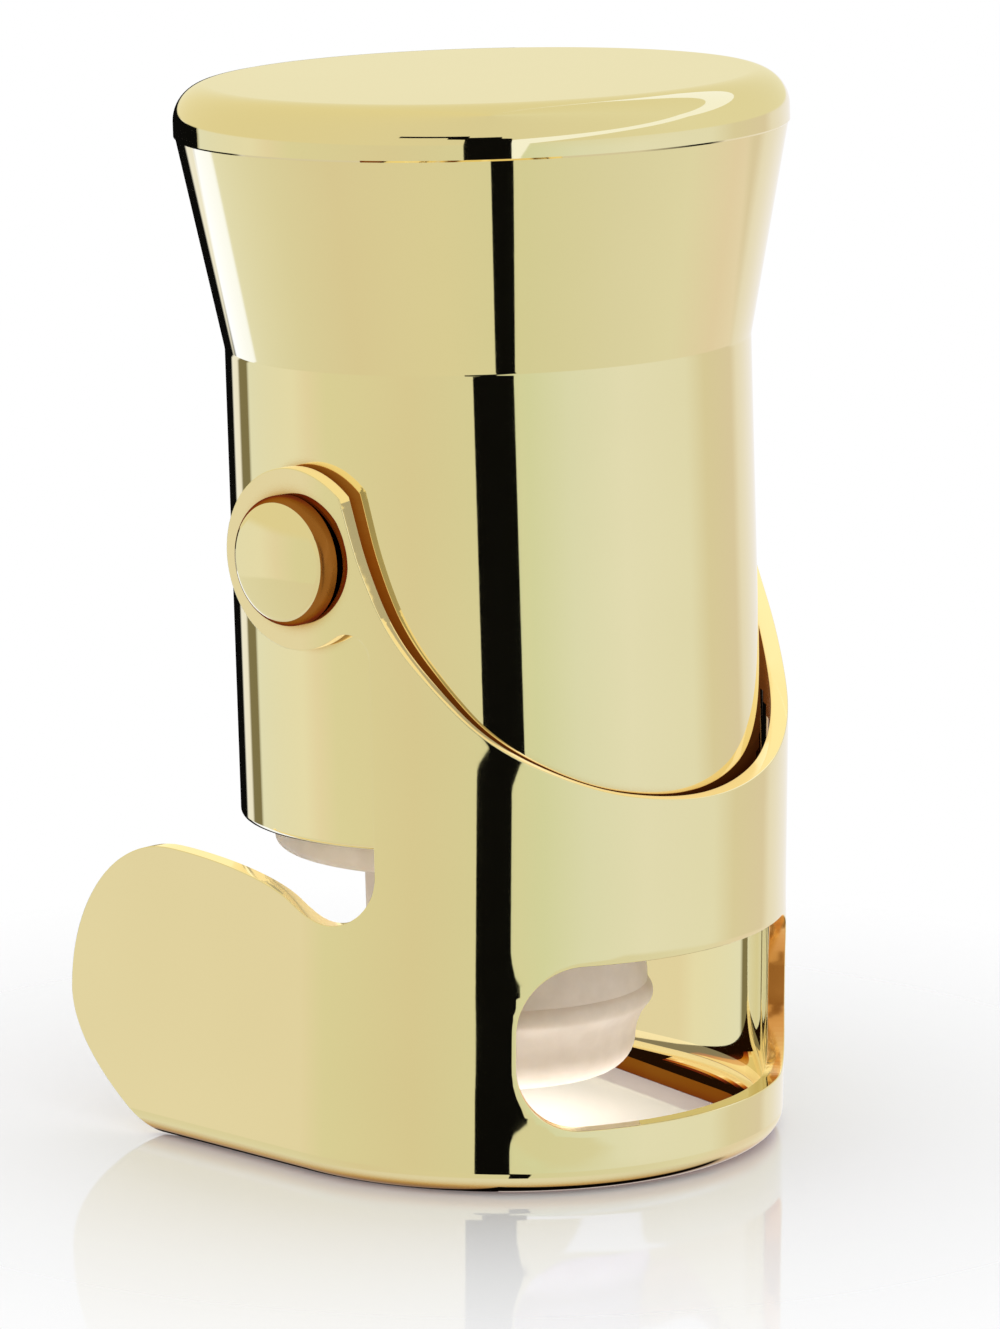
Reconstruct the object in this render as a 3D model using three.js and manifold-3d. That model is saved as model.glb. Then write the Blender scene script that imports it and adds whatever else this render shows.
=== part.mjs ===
// A champagne stopper: a heavy flared cap in a swinging clamp collar, with a silicone seal.
// Millimetres, +Z up. The collar stands on Z = 0, its closed end faces -Y and the rivets lie along X.
import * as THREE from 'three';
import { mergeVertices } from 'three/addons/utils/BufferGeometryUtils.js';
import Module from 'manifold-3d';

const wasm = await Module();
wasm.setup();

// Clamp collar, bent from one sheet
const collarRadius = 18.1;
const sheet = 1.1;
const footBend = 1.5;
const footOverlap = 0.1;
const archFrontHeight = 24.2;
const archEarRise = 4.2;
const armRear = 5.5;
const armRearLean = 0.4;
const armFillet = 1.5;
const earRadius = 5.65;
const notchRadius = 3.4;
const notchCentreHeight = 19.7;
const notchCentreForward = 2.1;

// Thumb wings behind the arms
const wingReach = 20.4;
const wingWidestHeight = 8.6;
const wingTop = 19.0;
const wingTopBehind = 11.5;
const wingFootBehind = 13.0;

// Window in the closed end and fork slot in the foot
const windowHalfAngle = 43.7;
const windowFoot = 4.05;
const windowTop = 14.45;
const windowCorner = 4.2;
const forkFront = 12.8;
const forkFrontHalf = 11.4;
const forkCorner = 5.0;

// Pivot
const pivotHeight = 38.9;
const pivotBehind = 0.8;
const capLean = 2.8;
const shankRadius = 1.75;
const shankClearance = 0.1;
const rivetHeadRadius = 4.05;
const rivetHeadHeight = 1.6;
const rivetHeadEdge = 0.8;
const rivetHeadDome = 0.3;
const rivetTailRadius = 2.7;
const rivetTailHeight = 0.9;
const washerRadius = 3.3;
const washerThickness = 0.5;
const burrRadius = 3.1;
const burrThickness = 0.6;
const seatGap = 0.05;

// Cap
const capRadius = 16.5;
const skirtFoot = 20.8;
const skirtEdge = 0.6;
const creaseHeight = 50.4;
const rimRadius = 19.25;
const rimFoot = 63.7;
const rimStep = 0.12;
const rimRound = 2.3;
const capTop = 67.0;
const castWall = 2.0;
const headThickness = 4.0;
const bossRadius = 4.6;
const bossFillet = 3.0;
const padRadius = 3.9;
const padDepth = 3.7;
const spotFaceRadius = 5.8;
const spotFaceDepth = 0.3;
const skirtBoreEase = 0.2;
const flangeSocket = 6.6;

// Silicone seal, its carrier and the screw
const flangeRadius = 14.4;
const flangeFoot = 18.8;
const flangeThickness = 3.6;
const flangeEdge = 0.6;
const plugRadius = 8.8;
const plugFillet = 0.7;
const beadRadius = 9.25;
const beadHeight = 8.5;
const beadHalf = 1.3;
const noseRadius = 8.05;
const noseRound = 2.2;
const plugFoot = 3.6;
const siliconeWall = 2.6;
const fitGap = 0.3;
const carrierThickness = 3.0;
const postRadius = 5.8;
const barbHeight = 1.2;
const barbReach = 0.5;
const screwHeadRadius = 2.9;
const screwHeadHeight = 1.8;
const screwRadius = 1.5;
const screwBite = 9.0;
const driveRadius = 1.3;
const driveDepth = 1.0;
const screwSeatDepth = 4.5;

// Facets and cuts
const overrun = 2.0;
const roundSteps = 60;
const bendSteps = 48;
const smallSteps = 24;
const fineSteps = 8;
const arcSteps = 4;
const filletSteps = 2;

// Shares of the wing and notch outline
const wingHeelShare = 0.6;
const swayShare = 0.09;
const swayRiseShare = 0.4;
const swayTopShares = [0.7, 0.28, 0.3];
const swayFootShares = [0.55, 0.5];

// The arched edge: shares of the angle to the ear, and of the rise from the front to the ear
const archShares = [
  [0, 0], [0.25, 0.037], [0.44, 0.118], [0.62, 0.245], [0.77, 0.43], [0.87, 0.592], [0.945, 0.79], [1, 1],
];

// Shares of the seal, the barb, the screw and the rivet
const beadShare = 0.7;
const beadFootShare = 1.5;
const waistShare = 0.12;
const barbShare = 0.2;
const pilotShare = 0.85;
const headFootShare = 0.7;
const headEdgeShare = 0.6;
const tipShare = 0.3;
const domeShare = 0.5;
const tailShare = 0.85;

const degree = Math.PI / 180;
const collarInner = collarRadius - sheet;
const archEarHeight = pivotHeight + archEarRise;
const carrierFoot = flangeFoot + flangeThickness + fitGap;
const carrierTop = carrierFoot + carrierThickness;
const bossFoot = carrierTop + fitGap;

// Turns a closed geometry into a manifold solid and back
function solid(geometry) {
  const bare = geometry.index ? geometry.toNonIndexed() : geometry.clone();
  for (const name of ['normal', 'uv']) {
    bare.deleteAttribute(name);
  }
  const merged = mergeVertices(bare);
  return new wasm.Manifold(new wasm.Mesh({
    numProp: 3,
    vertProperties: new Float32Array(merged.attributes.position.array),
    triVerts: new Uint32Array(merged.index.array),
  }));
}

function geometryOf(body) {
  const mesh = body.getMesh();
  const geometry = new THREE.BufferGeometry();
  geometry.setAttribute('position', new THREE.BufferAttribute(new Float32Array(mesh.vertProperties), 3));
  geometry.setIndex(new THREE.BufferAttribute(new Uint32Array(mesh.triVerts), 1));
  geometry.computeVertexNormals();
  return geometry;
}

// Revolves an outline of [radius, height] points about Z
function revolved(outline, steps) {
  const points = outline.map(([radius, height]) => new THREE.Vector2(radius, height));
  const geometry = new THREE.LatheGeometry(points, steps);
  geometry.rotateX(Math.PI / 2);
  return geometry;
}

// Points of an arc in an outline, angles in degrees
function arc(centreX, centreY, radius, from, to, steps = arcSteps) {
  const points = [];
  for (let i = 0; i <= steps; i += 1) {
    const angle = (from + (to - from) * i / steps) * degree;
    points.push([centreX + radius * Math.cos(angle), centreY + radius * Math.sin(angle)]);
  }
  return points;
}

// A round solid bar along X at the pivot's height, turned half round for the left side
function barAlongX(radius, from, to, turn) {
  const geometry = revolved([[0, from], [radius, from], [radius, to], [0, to]], smallSteps);
  geometry.rotateY(Math.PI / 2);
  geometry.rotateZ(turn);
  geometry.translate(0, 0, pivotHeight);
  return solid(geometry);
}

// Joins equal closed sections, each a list of Vector3, into one solid with flat ends
function lofted(sections) {
  const count = sections[0].length;
  const positions = [];
  const index = [];
  for (const section of sections) {
    for (const point of section) {
      positions.push(point.x, point.y, point.z);
    }
  }
  for (let i = 0; i + 1 < sections.length; i += 1) {
    for (let j = 0; j < count; j += 1) {
      const a = i * count + j;
      const b = i * count + (j + 1) % count;
      index.push(a, b + count, b, a, a + count, b + count);
    }
  }
  const last = (sections.length - 1) * count;
  for (let j = 1; j + 1 < count; j += 1) {
    index.push(0, j, j + 1);
    index.push(last, last + j + 1, last + j);
  }
  const geometry = new THREE.BufferGeometry();
  geometry.setAttribute('position', new THREE.BufferAttribute(new Float32Array(positions), 3));
  geometry.setIndex(index);
  return geometry;
}

// Stations along the collar's U-shaped plan: a place on its axis line and the outward direction
function bendStation(angle) {
  return {
    centre: new THREE.Vector2(0, 0),
    outward: new THREE.Vector2(Math.sin(angle), -Math.cos(angle)),
    angle,
  };
}

function bendStations(halfAngle, steps) {
  const stations = [];
  for (let i = 0; i <= steps; i += 1) {
    stations.push(bendStation(halfAngle * (2 * i / steps - 1)));
  }
  return stations;
}

function wingStation(side) {
  return {
    centre: new THREE.Vector2(0, wingReach + overrun),
    outward: new THREE.Vector2(side, 0),
    angle: side * Math.PI / 2,
  };
}

// A section on a station from a profile of [radius, height] points
function sectionAt(station, profile) {
  return profile.map(([radius, height]) => new THREE.Vector3(
    station.centre.x + station.outward.x * radius,
    station.centre.y + station.outward.y * radius,
    height,
  ));
}

// Side outline of wing, notch, arm and ear, Y to the right and Z up
function sideOutline() {
  const pivotY = pivotBehind;
  const filletCentreY = -armRear + armRearLean + armFillet;
  const reach = earRadius + armFillet;
  const filletDrop = Math.sqrt(reach ** 2 - (pivotY - filletCentreY) ** 2);
  const filletCentreZ = pivotHeight - filletDrop;
  const earStart = Math.atan2(filletCentreZ - pivotHeight, filletCentreY - pivotY);
  const archY = -collarRadius * Math.cos(archEnd());
  const earEnd = Math.acos((archY - pivotY) / earRadius);
  const front = -collarRadius - overrun;
  const top = pivotHeight + earRadius + overrun;
  const shape = new THREE.Shape();
  shape.moveTo(front, -overrun);
  shape.lineTo(wingFootBehind, -overrun);
  shape.lineTo(wingFootBehind, 0);
  const heel = (wingReach - wingFootBehind) * wingHeelShare;
  shape.quadraticCurveTo(wingReach, heel, wingReach, wingWidestHeight);
  shape.absellipse(wingTopBehind, wingWidestHeight, wingReach - wingTopBehind, wingTop - wingWidestHeight,
    0, Math.PI / 2, false, 0);
  const notchFoot = notchCentreHeight - notchRadius;
  const swayY = wingTopBehind * swayShare;
  const swayZ = notchFoot + (wingTop - notchFoot) * swayRiseShare;
  shape.bezierCurveTo(wingTopBehind * swayTopShares[0], wingTop,
    wingTopBehind * swayTopShares[1], wingTop - (wingTop - swayZ) * swayTopShares[2], swayY, swayZ);
  shape.bezierCurveTo(0, swayZ - (swayZ - notchFoot) * swayFootShares[0],
    -notchCentreForward * swayFootShares[1], notchFoot, -notchCentreForward, notchFoot);
  shape.absarc(-notchCentreForward, notchCentreHeight, notchRadius, -Math.PI / 2, -Math.PI, true);
  shape.lineTo(-armRear + armRearLean, filletCentreZ);
  shape.absarc(filletCentreY, filletCentreZ, armFillet, Math.PI, earStart - Math.PI, true);
  shape.absarc(pivotY, pivotHeight, earRadius, earStart, earEnd, false);
  shape.lineTo(archY, top);
  shape.lineTo(front, top);
  return shape;
}

// Angle from the front at which the arched edge runs into the ear's outline
function archEnd() {
  const y = pivotBehind - Math.sqrt(earRadius ** 2 - archEarRise ** 2);
  return Math.acos(-y / collarRadius);
}

// Angles and heights along the arched edge, from the left ear over the front to the right ear
function archedEdge() {
  const rise = archEarHeight - archFrontHeight;
  const curve = new THREE.SplineCurve(archShares.map(([across, up]) => new THREE.Vector2(across, up)));
  const half = curve.getPoints(bendSteps / 2).map(({ x, y }) => [x * archEnd(), archFrontHeight + rise * y]);
  const mirrored = half.slice(1).reverse().map(([angle, height]) => [-angle, height]);
  return [...mirrored, ...half];
}

// Height of the window's rounded outline above or below its middle, at an angle from the front
function windowHalfHeight(angle) {
  const half = (windowTop - windowFoot) / 2;
  const reach = windowHalfAngle * degree * collarRadius;
  const intoCorner = Math.abs(angle) * collarRadius - (reach - windowCorner);
  if (intoCorner <= 0) {
    return half;
  }
  return half - windowCorner + Math.sqrt(Math.max(windowCorner ** 2 - intoCorner ** 2, 0));
}

// Window stations, closer together in the round corners
function windowAngles() {
  const end = windowHalfAngle * degree;
  const corner = windowCorner / collarRadius;
  const angles = [];
  for (let i = 0; i <= fineSteps; i += 1) {
    angles.push(-end + corner * (1 - Math.cos(i / fineSteps * Math.PI / 2)));
  }
  for (let i = 1; i < smallSteps; i += 1) {
    angles.push((end - corner) * (2 * i / smallSteps - 1));
  }
  for (let i = fineSteps; i >= 0; i -= 1) {
    angles.push(end - corner * (1 - Math.cos(i / fineSteps * Math.PI / 2)));
  }
  return angles;
}

// Plan outline of the fork slot: tapered sides and a rounded closed front
function forkSlot() {
  const taper = (collarInner - forkFrontHalf) / (wingFootBehind + forkFront);
  const back = wingReach + overrun;
  const backHalf = forkFrontHalf + taper * (back + forkFront);
  const cornerHalf = forkFrontHalf + taper * forkCorner;
  const shape = new THREE.Shape();
  shape.moveTo(-backHalf, back);
  shape.lineTo(-cornerHalf, -forkFront + forkCorner);
  shape.quadraticCurveTo(-forkFrontHalf, -forkFront, -forkFrontHalf + forkCorner, -forkFront);
  shape.lineTo(forkFrontHalf - forkCorner, -forkFront);
  shape.quadraticCurveTo(forkFrontHalf, -forkFront, cornerHalf, -forkFront + forkCorner);
  shape.lineTo(backHalf, back);
  return shape;
}

// The collar is its bent wall and foot, kept inside the side outline, less arch, window and fork slot
function clampCollar() {
  const top = pivotHeight + earRadius + overrun;
  const path = [wingStation(-1), ...bendStations(Math.PI / 2, bendSteps), wingStation(1)];
  const bendStart = collarRadius - footBend;
  const wall = [[collarInner, sheet], [bendStart, sheet], ...arc(bendStart, footBend, footBend, -90, 0),
    [collarRadius, top], [collarInner, top]];
  let body = solid(lofted(path.map((station) => sectionAt(station, wall))));

  const footEdge = bendStart + footOverlap;
  const foot = new THREE.Shape();
  foot.moveTo(-footEdge, wingReach + overrun);
  foot.lineTo(-footEdge, 0);
  foot.absarc(0, 0, footEdge, Math.PI, 2 * Math.PI, false);
  foot.lineTo(footEdge, wingReach + overrun);
  const plate = new THREE.ExtrudeGeometry(foot, { depth: sheet, bevelEnabled: false, curveSegments: bendSteps });
  body = body.add(solid(plate));

  const slot = new THREE.ExtrudeGeometry(forkSlot(),
    { depth: sheet + 2 * overrun, bevelEnabled: false, curveSegments: fineSteps });
  slot.translate(0, 0, -overrun);
  body = body.subtract(solid(slot));

  const side = new THREE.ExtrudeGeometry(sideOutline(),
    { depth: 2 * (collarRadius + overrun), bevelEnabled: false, curveSegments: fineSteps });
  side.rotateX(Math.PI / 2);
  side.rotateZ(Math.PI / 2);
  side.translate(-collarRadius - overrun, 0, 0);
  body = body.intersect(solid(side));

  const inner = collarInner - overrun;
  const outer = collarRadius + overrun;
  const above = top + overrun;
  const arch = archedEdge().map(([angle, low]) => sectionAt(bendStation(angle),
    [[inner, low], [outer, low], [outer, above], [inner, above]]));
  body = body.subtract(solid(lofted(arch)));

  const middle = (windowTop + windowFoot) / 2;
  const window = windowAngles().map((angle) => {
    const half = windowHalfHeight(angle);
    const [low, high] = [middle - half, middle + half];
    return sectionAt(bendStation(angle), [[inner, low], [outer, low], [outer, high], [inner, high]]);
  });
  body = body.subtract(solid(lofted(window)));

  const hole = barAlongX(shankRadius + shankClearance, -outer, outer, 0);
  body = body.subtract(hole.translate([0, pivotBehind, 0]));
  return geometryOf(body);
}

// The cast cap: flared shell, centre boss, rivet pads inside and spot faces outside
function capBody() {
  const coneSlope = (rimRadius - capRadius) / (rimFoot - creaseHeight);
  const roof = capTop - headThickness;
  const roofRadius = capRadius + coneSlope * (roof - creaseHeight) - castWall;
  const bore = capRadius - castWall + skirtBoreEase;
  const pilot = screwRadius * pilotShare;
  const pilotTop = bossFoot + screwBite + fitGap;
  const outline = [
    [bore, skirtFoot],
    ...arc(capRadius - skirtEdge, skirtFoot + skirtEdge, skirtEdge, -90, 0),
    [capRadius, creaseHeight],
    [rimRadius - rimStep, rimFoot],
    [rimRadius, rimFoot + rimStep],
    ...arc(rimRadius - rimRound, capTop - rimRound, rimRound, 0, 90, fineSteps),
    [0, capTop],
    [0, pilotTop],
    [pilot, pilotTop],
    [pilot, bossFoot],
    [bossRadius, bossFoot],
    ...arc(bossRadius + bossFillet, roof - bossFillet, bossFillet, 180, 90, filletSteps),
    ...arc(roofRadius - bossFillet, roof - bossFillet, bossFillet, 90, 0, filletSteps),
    [capRadius - castWall, creaseHeight],
    [capRadius - castWall, skirtFoot + flangeSocket],
    [bore, skirtFoot + flangeSocket],
    [bore, skirtFoot],
  ];
  let body = solid(revolved(outline, roundSteps));
  const padFace = capRadius - padDepth;
  const skin = capRadius - castWall / 2;
  const spotFace = capRadius - spotFaceDepth;
  const clear = capRadius + overrun;
  const hole = shankRadius + shankClearance;
  for (const turn of [0, Math.PI]) {
    body = body.add(barAlongX(padRadius, padFace, skin, turn));
    body = body.subtract(barAlongX(spotFaceRadius, spotFace, clear, turn));
    body = body.subtract(barAlongX(hole, padFace - overrun, clear, turn));
  }
  return geometryOf(body);
}

// A shoulder rivet, drawn with its head outward along +X
function rivet() {
  const under = collarRadius + seatGap;
  const rim = under + rivetHeadHeight - rivetHeadDome;
  const tailFace = capRadius - padDepth - burrThickness - 2 * seatGap;
  const tailEnd = tailFace - rivetTailHeight;
  const outline = [
    [0, tailEnd],
    [rivetTailRadius * tailShare, tailEnd],
    [rivetTailRadius, tailEnd + rivetTailHeight / 2],
    [rivetTailRadius, tailFace],
    [shankRadius, tailFace],
    [shankRadius, under],
    [rivetHeadRadius, under],
    ...arc(rivetHeadRadius - rivetHeadEdge, rim - rivetHeadEdge, rivetHeadEdge, 0, 75),
    [(rivetHeadRadius - rivetHeadEdge) * domeShare, rim + rivetHeadDome * (1 - domeShare ** 2)],
    [0, rim + rivetHeadDome],
  ];
  const geometry = revolved(outline, smallSteps);
  geometry.rotateY(Math.PI / 2);
  return geometry;
}

// A flat washer about the X axis between two places
function washer(radius, hole, from, to) {
  const outline = [[hole, from], [radius, from], [radius, to], [hole, to], [hole, from]];
  const geometry = revolved(outline, smallSteps);
  geometry.rotateY(Math.PI / 2);
  return geometry;
}

// The silicone seal: flange, plug, bead and rounded nose around a socket for the post
function sealPlug() {
  const top = flangeFoot + flangeThickness;
  const socket = postRadius + fitGap;
  const socketFoot = plugFoot + siliconeWall;
  const barbFoot = socketFoot + fitGap;
  const beadFoot = beadHalf * beadFootShare;
  const outline = [
    [0, plugFoot],
    ...arc(noseRadius - noseRound, plugFoot + noseRound, noseRound, -90, 0),
    [noseRadius + (beadRadius - noseRadius) * waistShare, beadHeight - beadFoot],
    ...arc(beadRadius - beadHalf * beadShare, beadHeight, beadHalf * beadShare, -60, 60),
    [plugRadius, beadHeight + beadFoot],
    ...arc(plugRadius + plugFillet, flangeFoot - plugFillet, plugFillet, 180, 90, filletSteps),
    ...arc(flangeRadius - flangeEdge, flangeFoot + flangeEdge, flangeEdge, -90, 0, filletSteps),
    [flangeRadius, top],
    [socket, top],
    [socket, barbFoot + 2 * barbHeight],
    [socket + barbReach, barbFoot + barbHeight],
    [socket + barbReach, socketFoot],
    [0, socketFoot],
  ];
  return revolved(outline, roundSteps);
}

// The carrier: a disc against the boss and a barbed post, bored for the screw
function sealCarrier() {
  const postFoot = plugFoot + siliconeWall + fitGap;
  const seat = carrierFoot - screwSeatDepth;
  const outline = [
    [screwHeadRadius + fitGap, postFoot],
    [postRadius + barbReach * barbShare, postFoot],
    [postRadius + barbReach, postFoot + barbHeight],
    [postRadius, postFoot + 2 * barbHeight],
    [postRadius, carrierFoot],
    [flangeRadius, carrierFoot],
    [flangeRadius, carrierTop],
    [screwRadius + shankClearance, carrierTop],
    [screwRadius + shankClearance, seat],
    [screwHeadRadius + fitGap, seat],
    [screwHeadRadius + fitGap, postFoot],
  ];
  return revolved(outline, roundSteps);
}

// The screw, head down in the post and shank up in the boss
function carrierScrew() {
  const seat = carrierFoot - screwSeatDepth - seatGap;
  const tip = bossFoot + screwBite;
  const bite = screwRadius * pilotShare - seatGap;
  const outline = [
    [0, seat - screwHeadHeight + driveDepth],
    [driveRadius, seat - screwHeadHeight + driveDepth],
    [driveRadius, seat - screwHeadHeight],
    [screwHeadRadius * headFootShare, seat - screwHeadHeight],
    [screwHeadRadius, seat - screwHeadHeight * headEdgeShare],
    [screwHeadRadius, seat],
    [screwRadius, seat],
    [screwRadius, bossFoot - seatGap],
    [bite, bossFoot - seatGap],
    [bite, tip - screwRadius],
    [bite * tipShare, tip],
    [0, tip],
  ];
  return revolved(outline, smallSteps);
}

const gold = { color: 0xdccf9a, roughness: 0.12, metalness: 1.0 };
const steel = { color: 0xb9b8b4, roughness: 0.35, metalness: 1.0 };
const nylon = { color: 0xe6e2d6, roughness: 0.5, metalness: 0.0 };
const plastic = { color: 0xd8d4ca, roughness: 0.45, metalness: 0.0 };
const silicone = { color: 0xb8aa9c, roughness: 0.5, metalness: 0.0 };

function piece(name, geometry, look) {
  const mesh = new THREE.Mesh(geometry, new THREE.MeshStandardMaterial(look));
  mesh.name = name;
  return mesh;
}

// The cap leans about the rivet line; inside this group Z is the cap's own axis
const capGroup = new THREE.Group();
capGroup.add(piece('cap_body', capBody(), gold));
capGroup.add(piece('seal_plug', sealPlug(), silicone));
capGroup.add(piece('seal_carrier', sealCarrier(), plastic));
capGroup.add(piece('carrier_screw', carrierScrew(), steel));
for (const [name, side] of [['left', -1], ['right', 1]]) {
  const turn = side < 0 ? Math.PI : 0;
  const hole = shankRadius + shankClearance;
  const padFace = capRadius - padDepth - seatGap;
  const spotFace = capRadius - spotFaceDepth + seatGap;
  const parts = [
    piece(`rivet_${name}`, rivet(), gold),
    piece(`pivot_washer_${name}`,
      washer(washerRadius, hole, spotFace, spotFace + washerThickness), nylon),
    piece(`rivet_burr_${name}`,
      washer(burrRadius, hole, padFace - burrThickness, padFace), steel),
  ];
  for (const part of parts) {
    part.position.z = pivotHeight;
    part.rotation.z = turn;
    capGroup.add(part);
  }
}
const leaning = new THREE.Group();
leaning.position.set(0, pivotBehind, pivotHeight);
leaning.rotation.x = -capLean * degree;
capGroup.position.z = -pivotHeight;
leaning.add(capGroup);

const stopper = new THREE.Group();
stopper.add(piece('clamp_collar', clampCollar(), gold));
stopper.add(leaning);

// The origin is on the ground at the middle of the footprint
const box = new THREE.Box3().setFromObject(stopper, true);
stopper.position.y = -(box.min.y + box.max.y) / 2;
stopper.updateMatrixWorld(true);

export default stopper;
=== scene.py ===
# A champagne stopper of polished pale gold metal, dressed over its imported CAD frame.
# Metres, +Z up. The collar's closed end and window face -Y, and the rivets lie along X.
import math
import bpy
from mathutils import Matrix, Vector


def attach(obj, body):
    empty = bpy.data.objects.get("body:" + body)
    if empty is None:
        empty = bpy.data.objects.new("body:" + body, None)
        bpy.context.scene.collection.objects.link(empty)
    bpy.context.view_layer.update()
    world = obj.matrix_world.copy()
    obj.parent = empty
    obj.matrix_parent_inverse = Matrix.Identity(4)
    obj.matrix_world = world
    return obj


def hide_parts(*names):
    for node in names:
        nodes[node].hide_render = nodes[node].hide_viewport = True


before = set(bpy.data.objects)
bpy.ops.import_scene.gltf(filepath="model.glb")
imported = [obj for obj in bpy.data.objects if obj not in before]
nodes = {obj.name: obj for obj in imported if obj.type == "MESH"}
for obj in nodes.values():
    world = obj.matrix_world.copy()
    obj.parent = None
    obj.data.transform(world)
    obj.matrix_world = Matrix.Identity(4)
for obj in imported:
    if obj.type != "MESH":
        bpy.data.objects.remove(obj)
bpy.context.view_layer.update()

# The cap: one zinc casting with a flared head, turned and buffed to a mirror, then plated pale gold.
# It is hollow, with a boss down its middle that the seal's screw bites into.
# It leans 2.8 degrees back about the rivets, because its weight lies above them.
pivot = Vector((0, -0.0007937, 0.0389))
collar_axis = Vector((0, -0.0015937, 0))
cap_lean = math.radians(2.8)
cap_radius = 0.0165
skirt_foot = 0.0208
skirt_edge = 0.00035
crease_height = 0.0504
crease_half = 0.00012
rim_radius = 0.01925
rim_foot = 0.0637
rim_step = 0.00012
rim_round = 0.0023
cap_top = 0.067
cap_roof = 0.063
cast_wall = 0.002
boss_radius = 0.0046
boss_foot = 0.026
boss_fillet = 0.003
pilot_radius = 0.001275
pilot_top = 0.0353
skirt_bore = 0.0147
socket_top = 0.0274
cap_steps = 256
gold = (0.81, 0.73, 0.46)
gold_shade = (0.79, 0.71, 0.44)
mirror_roughness = 0.03
haze_least_share = 0.6
haze_most_share = 1.5
painted_shade_roughness = 0.35
casting_painted_shade_reach = 0.0009
black = (0, 0, 0)
white = (1, 1, 1)


def clear_selection():
    if bpy.context.object and bpy.context.object.mode != "OBJECT":
        bpy.ops.object.mode_set(mode="OBJECT")
    bpy.ops.object.select_all(action="DESELECT")


def arc(centre_r, centre_z, radius, start, end, steps):
    """Points along a round stretch, between two angles in degrees."""
    points = []
    for i in range(steps + 1):
        angle = math.radians(start + (end - start) * i / steps)
        points.append((centre_r + radius * math.cos(angle), centre_z + radius * math.sin(angle)))
    return points


def turned(name, outline, steps):
    """Raises rings one after another from a disc, as on a lathe, and closes the last one."""
    clear_selection()
    radius, height = outline[0]
    bpy.ops.mesh.primitive_circle_add(vertices=steps, radius=radius, fill_type="NGON", location=(0, 0, 0))
    piece = bpy.context.object
    piece.name = name
    bpy.ops.object.mode_set(mode="EDIT")
    bpy.ops.transform.translate(value=(0, 0, height))
    for next_radius, next_height in outline[1:]:
        bpy.ops.mesh.extrude_region_move(TRANSFORM_OT_translate={"value": (0, 0, next_height - height)})
        share = next_radius / radius
        bpy.ops.transform.resize(value=(share, share, 1), center_override=(0, 0, next_height))
        radius, height = next_radius, next_height
    bpy.ops.mesh.select_all(action="DESELECT")
    bpy.ops.mesh.select_non_manifold()
    bpy.ops.mesh.edge_face_add()
    bpy.ops.mesh.select_all(action="SELECT")
    bpy.ops.mesh.normals_make_consistent(inside=False)
    bpy.ops.object.mode_set(mode="OBJECT")
    return piece


def finish_shading(piece, angle=35):
    """Smooth shading that leaves large faces true, so that reflections stay clean."""
    clear_selection()
    piece.select_set(True)
    bpy.context.view_layer.objects.active = piece
    bpy.ops.object.shade_smooth_by_angle(angle=math.radians(angle))
    bpy.ops.object.modifier_add(type="WEIGHTED_NORMAL")
    weighted = piece.modifiers[-1]
    weighted.weight = 100
    weighted.keep_sharp = True
    bpy.ops.object.modifier_apply(modifier=weighted.name)


def lean_with_cap(piece):
    """Tips a piece that was made upright back about the rivets, as the cap stands."""
    to_pivot = Matrix.Translation((0, 0, -pivot.z))
    piece.data.transform(Matrix.Translation(pivot) @ Matrix.Rotation(-cap_lean, 4, "X") @ to_pivot)


def new_finish(name):
    """A plain material, with its node tree and its shader."""
    material = bpy.data.materials.new(name)
    material.use_nodes = True
    return material, material.node_tree, material.node_tree.nodes["Principled BSDF"]


def grain(tree, scale, detail):
    """Noise that stays with the piece, from 0 to 1."""
    place = tree.nodes.new("ShaderNodeTexCoord")
    noise = tree.nodes.new("ShaderNodeTexNoise")
    noise.inputs["Scale"].default_value = scale
    noise.inputs["Detail"].default_value = detail
    tree.links.new(place.outputs["Object"], noise.inputs["Vector"])
    return noise.outputs["Fac"]


def ramp(tree, value, stops):
    """Colours at places from 0 to 1, read by a value."""
    node = tree.nodes.new("ShaderNodeValToRGB")
    elements = node.color_ramp.elements
    while len(elements) < len(stops):
        elements.new(0.5)
    for element, (place, colour) in zip(elements, stops):
        element.position = place
        element.color = (*colour, 1)
    tree.links.new(value, node.inputs["Fac"])
    return node.outputs["Color"]


def spread(tree, value, low, high):
    """A value from 0 to 1, moved to lie between two others."""
    node = tree.nodes.new("ShaderNodeMapRange")
    node.inputs["To Min"].default_value = low
    node.inputs["To Max"].default_value = high
    tree.links.new(value, node.inputs["Value"])
    return node.outputs["Result"]


def tinted(tree, first, second):
    """One colour laid over another, as a glaze is."""
    glaze = tree.nodes.new("ShaderNodeMix")
    glaze.data_type = "RGBA"
    glaze.blend_type = "MULTIPLY"
    glaze.inputs["Factor"].default_value = 1
    tree.links.new(first, glaze.inputs["A"])
    tree.links.new(second, glaze.inputs["B"])
    return glaze.outputs["Result"]


def make_uneven(tree, shader, value, strength, depth):
    bump = tree.nodes.new("ShaderNodeBump")
    bump.inputs["Strength"].default_value = strength
    bump.inputs["Distance"].default_value = depth
    tree.links.new(value, bump.inputs["Height"])
    tree.links.new(bump.outputs["Normal"], shader.inputs["Normal"])


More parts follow.
